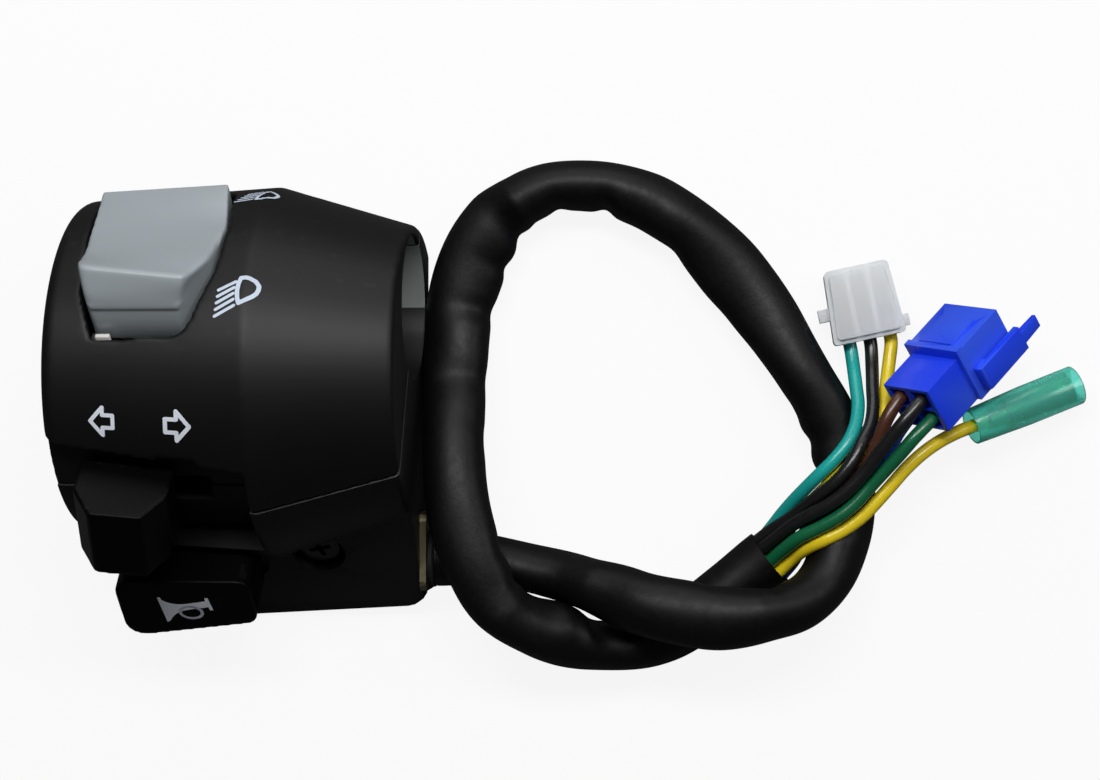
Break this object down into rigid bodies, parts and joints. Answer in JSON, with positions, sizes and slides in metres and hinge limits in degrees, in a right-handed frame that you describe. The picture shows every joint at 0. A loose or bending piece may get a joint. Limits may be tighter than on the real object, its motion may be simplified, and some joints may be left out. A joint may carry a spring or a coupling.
{
  "type": "handlebar switch cluster",
  "caption": "Motorbike handlebar switch housing with a tipping dimmer rocker, sliding turn-signal knob, sprung horn button, bar clamp and a sleeved harness with connectors.",
  "frame": {"origin": "handlebar axis at the middle of the casing's length", "axes": "+X along the handlebar toward the harness end, +Y up across the face, +Z out of the face"},
  "size_m": [0.1555, 0.0822, 0.0431],
  "materials": {
    "casing_black": "fine-grained moulded black",
    "button_black": "smooth black",
    "rocker_grey": "satin grey",
    "white_nylon": "natural white nylon",
    "clear_nylon": "milky nylon",
    "blue_nylon": "dyed blue nylon",
    "green_vinyl": "clear green vinyl",
    "black_rubber": "moulded rubber",
    "sleeve_black": "soft vinyl tube",
    "board_brown": "laminated board",
    "screw_steel": "zinc plated",
    "plated_brass": "yellow plated",
    "contact_brass": "bare brass",
    "wire_teal": "vinyl insulation",
    "wire_black": "vinyl insulation",
    "wire_yellow": "vinyl insulation",
    "wire_brown": "vinyl insulation",
    "wire_green": "vinyl insulation",
    "wire_blue": "vinyl insulation"
  },
  "bodies": {
    "housing": {"front_shell": "casing_black", "rear_shell": "casing_black", "case_screws": "screw_steel", "carrier_screw": "screw_steel", "retainer_plate": "plated_brass", "grommet": "black_rubber", "dimmer_pin": "screw_steel", "dimmer_base": "white_nylon", "dimmer_studs": "contact_brass", "dimmer_leaf": "screw_steel", "turn_board": "board_brown", "turn_rivets": "contact_brass", "horn_spring": "screw_steel", "horn_blade": "contact_brass", "horn_stud": "contact_brass", "harness_sleeve": "sleeve_black", "wire_teal": "wire_teal", "wire_black_upper": "wire_black", "wire_yellow_inner": "wire_yellow", "wire_black_lower": "wire_black", "wire_brown": "wire_brown", "wire_green": "wire_green", "wire_blue": "wire_blue", "wire_yellow_outer": "wire_yellow", "white_connector": "clear_nylon", "white_terminals": "contact_brass", "blue_connector": "blue_nylon", "blue_lever": "blue_nylon", "blue_terminals": "contact_brass", "bullet_sleeve": "green_vinyl", "bullet_terminal": "contact_brass"},
    "dimmer": {"dimmer_rocker": "rocker_grey", "dimmer_strip": "contact_brass"},
    "turn": {"turn_knob": "button_black", "turn_slider": "white_nylon", "turn_ball": "screw_steel", "turn_spring": "screw_steel", "turn_bridge": "contact_brass"},
    "horn": {"horn_button": "button_black"}
  },
  "joints": [
    {"name": "dimmer_tip", "type": "hinge", "parent": "housing", "child": "dimmer", "pos_m": [-0.01, 0.00674, 0.01409], "axis": [1, 0, 0], "range_deg": [0, 16]},
    {"name": "turn_slide", "type": "slide", "parent": "housing", "child": "turn", "axis": [1, 0, 0], "range_m": [0, 0.008]},
    {"name": "horn_press", "type": "slide", "parent": "housing", "child": "horn", "axis": [0, 0.7193, -0.6947], "range_m": [0, 0.002], "stiffness_N_per_m": 800, "springref_m": -0.002, "deforming": ["horn_spring"]}
  ]
}
